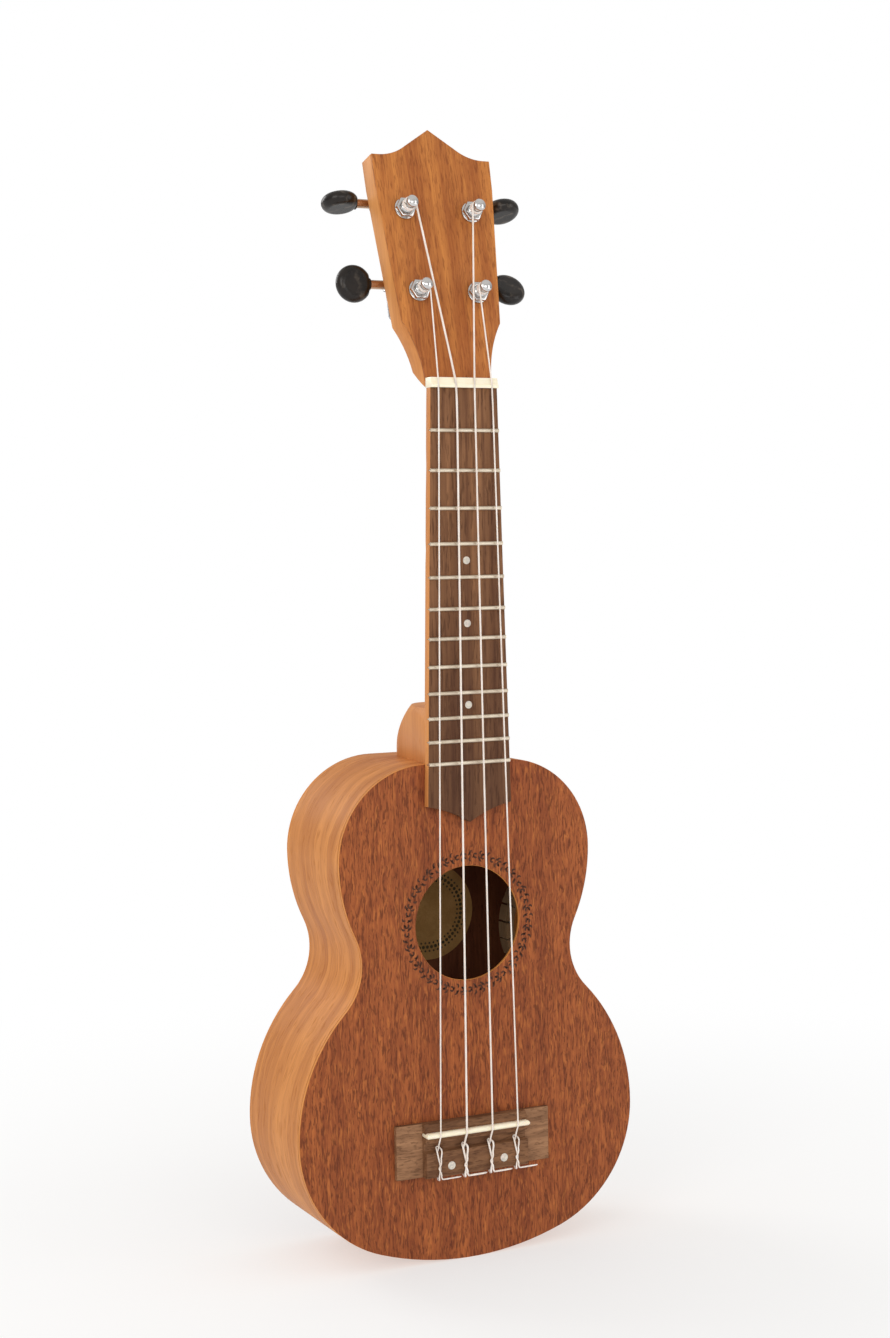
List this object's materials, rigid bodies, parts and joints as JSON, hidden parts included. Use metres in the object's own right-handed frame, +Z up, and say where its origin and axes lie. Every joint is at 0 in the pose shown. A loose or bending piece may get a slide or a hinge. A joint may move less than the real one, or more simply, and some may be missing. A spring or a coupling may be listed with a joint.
{
  "type": "soprano ukulele",
  "caption": "Small figure-eight wooden lute with nylon strings, a fretted neck, a tilted headstock and worm-geared tuners whose knobs turn the string posts.",
  "frame": {"origin": "middle of the nut's lower edge, on the plane of the soundboard's face, where a hanger's fork meets the neck below the headstock", "axes": "+Z up along the neck towards the headstock, -Y out of the soundboard towards the strings, +X to the side of the A string"},
  "size_m": [0.1748, 0.0737, 0.5306],
  "materials": {
    "mahogany": "satin open-pored mahogany",
    "side_wood": "satin pale mahogany",
    "neck_wood": "satin pale straight-grained wood",
    "inner_wood": "unfinished pale wood",
    "lining_wood": "unfinished pale wood",
    "brace_wood": "unfinished spruce",
    "paper": "matte paper",
    "bridge_wood": "satin walnut",
    "board_wood": "satin walnut",
    "head_wood": "satin streaked mahogany",
    "bone": "polished cream plastic",
    "pearl": "polished mother-of-pearl plastic",
    "fret_metal": "polished nickel silver",
    "steel": "plain steel",
    "nylon": "smooth translucent nylon",
    "tuner_case": "polished plated zinc",
    "tuner_chrome": "polished plated steel",
    "gear_brass": "plain brass",
    "shaft_metal": "polished plated steel",
    "knob_plastic": "polished dark plastic"
  },
  "bodies": {
    "ukulele": {"soundboard": "mahogany", "back": "mahogany", "rib_bass": "side_wood", "rib_treble": "side_wood", "neck_block": "inner_wood", "tail_block": "inner_wood", "top_lining_bass": "lining_wood", "top_lining_treble": "lining_wood", "back_lining_bass": "lining_wood", "back_lining_treble": "lining_wood", "soundboard_brace_upper": "brace_wood", "soundboard_brace_lower": "brace_wood", "bridge_patch": "inner_wood", "back_brace_upper": "brace_wood", "back_brace_lower": "brace_wood", "label": "paper", "bridge": "bridge_wood", "saddle": "bone", "bridge_bolts": "steel", "bridge_nuts": "steel", "bridge_dots": "pearl", "neck": "neck_wood", "neck_dowels": "neck_wood", "headstock_veneer": "head_wood", "fretboard": "board_wood", "frets": "fret_metal", "fret_markers": "pearl", "nut": "bone", "string_g": "nylon", "string_c": "nylon", "string_e": "nylon", "string_a": "nylon", "tuner_housing_1": "tuner_case", "tuner_housing_2": "tuner_case", "tuner_housing_3": "tuner_case", "tuner_housing_4": "tuner_case", "tuner_covers": "tuner_case", "tuner_bushings": "tuner_chrome", "tuner_washers": "tuner_chrome", "tuner_screws": "tuner_chrome"},
    "tuner_knob_1": {"worm_shaft_1": "shaft_metal", "knob_1": "knob_plastic"},
    "tuner_post_1": {"post_1": "tuner_chrome", "gear_1": "gear_brass", "string_winding_1": "nylon"},
    "tuner_knob_2": {"worm_shaft_2": "shaft_metal", "knob_2": "knob_plastic"},
    "tuner_post_2": {"post_2": "tuner_chrome", "gear_2": "gear_brass", "string_winding_2": "nylon"},
    "tuner_knob_3": {"worm_shaft_3": "shaft_metal", "knob_3": "knob_plastic"},
    "tuner_post_3": {"post_3": "tuner_chrome", "gear_3": "gear_brass", "string_winding_3": "nylon"},
    "tuner_knob_4": {"worm_shaft_4": "shaft_metal", "knob_4": "knob_plastic"},
    "tuner_post_4": {"post_4": "tuner_chrome", "gear_4": "gear_brass", "string_winding_4": "nylon"}
  },
  "joints": [
    {"name": "knob_turn_1", "type": "hinge", "parent": "ukulele", "child": "tuner_knob_1", "pos_m": [-0.0151, 0.02844, 0.04916], "axis": [1, 0, 0], "continuous": true},
    {"name": "post_turn_1", "type": "hinge", "parent": "ukulele", "child": "tuner_post_1", "pos_m": [-0.0151, 0.01112, 0.04494], "axis": [0, 0.9707, -0.2402], "continuous": true},
    {"name": "knob_turn_2", "type": "hinge", "parent": "ukulele", "child": "tuner_knob_2", "pos_m": [-0.0172, 0.03791, 0.0874], "axis": [1, 0, 0], "continuous": true},
    {"name": "post_turn_2", "type": "hinge", "parent": "ukulele", "child": "tuner_post_2", "pos_m": [-0.0172, 0.02059, 0.08319], "axis": [0, 0.9707, -0.2402], "continuous": true},
    {"name": "knob_turn_3", "type": "hinge", "parent": "ukulele", "child": "tuner_knob_3", "pos_m": [0.0172, 0.03791, 0.0874], "axis": [1, 0, 0], "continuous": true},
    {"name": "post_turn_3", "type": "hinge", "parent": "ukulele", "child": "tuner_post_3", "pos_m": [0.0172, 0.02059, 0.08319], "axis": [0, 0.9707, -0.2402], "continuous": true},
    {"name": "knob_turn_4", "type": "hinge", "parent": "ukulele", "child": "tuner_knob_4", "pos_m": [0.0151, 0.02844, 0.04916], "axis": [1, 0, 0], "continuous": true},
    {"name": "post_turn_4", "type": "hinge", "parent": "ukulele", "child": "tuner_post_4", "pos_m": [0.0151, 0.01112, 0.04494], "axis": [0, 0.9707, -0.2402], "continuous": true}
  ],
  "couplings": [
    {"joint": "post_turn_1", "follows": "knob_turn_1", "ratio": -0.071429},
    {"joint": "post_turn_2", "follows": "knob_turn_2", "ratio": -0.071429},
    {"joint": "post_turn_3", "follows": "knob_turn_3", "ratio": 0.071429},
    {"joint": "post_turn_4", "follows": "knob_turn_4", "ratio": 0.071429}
  ]
}
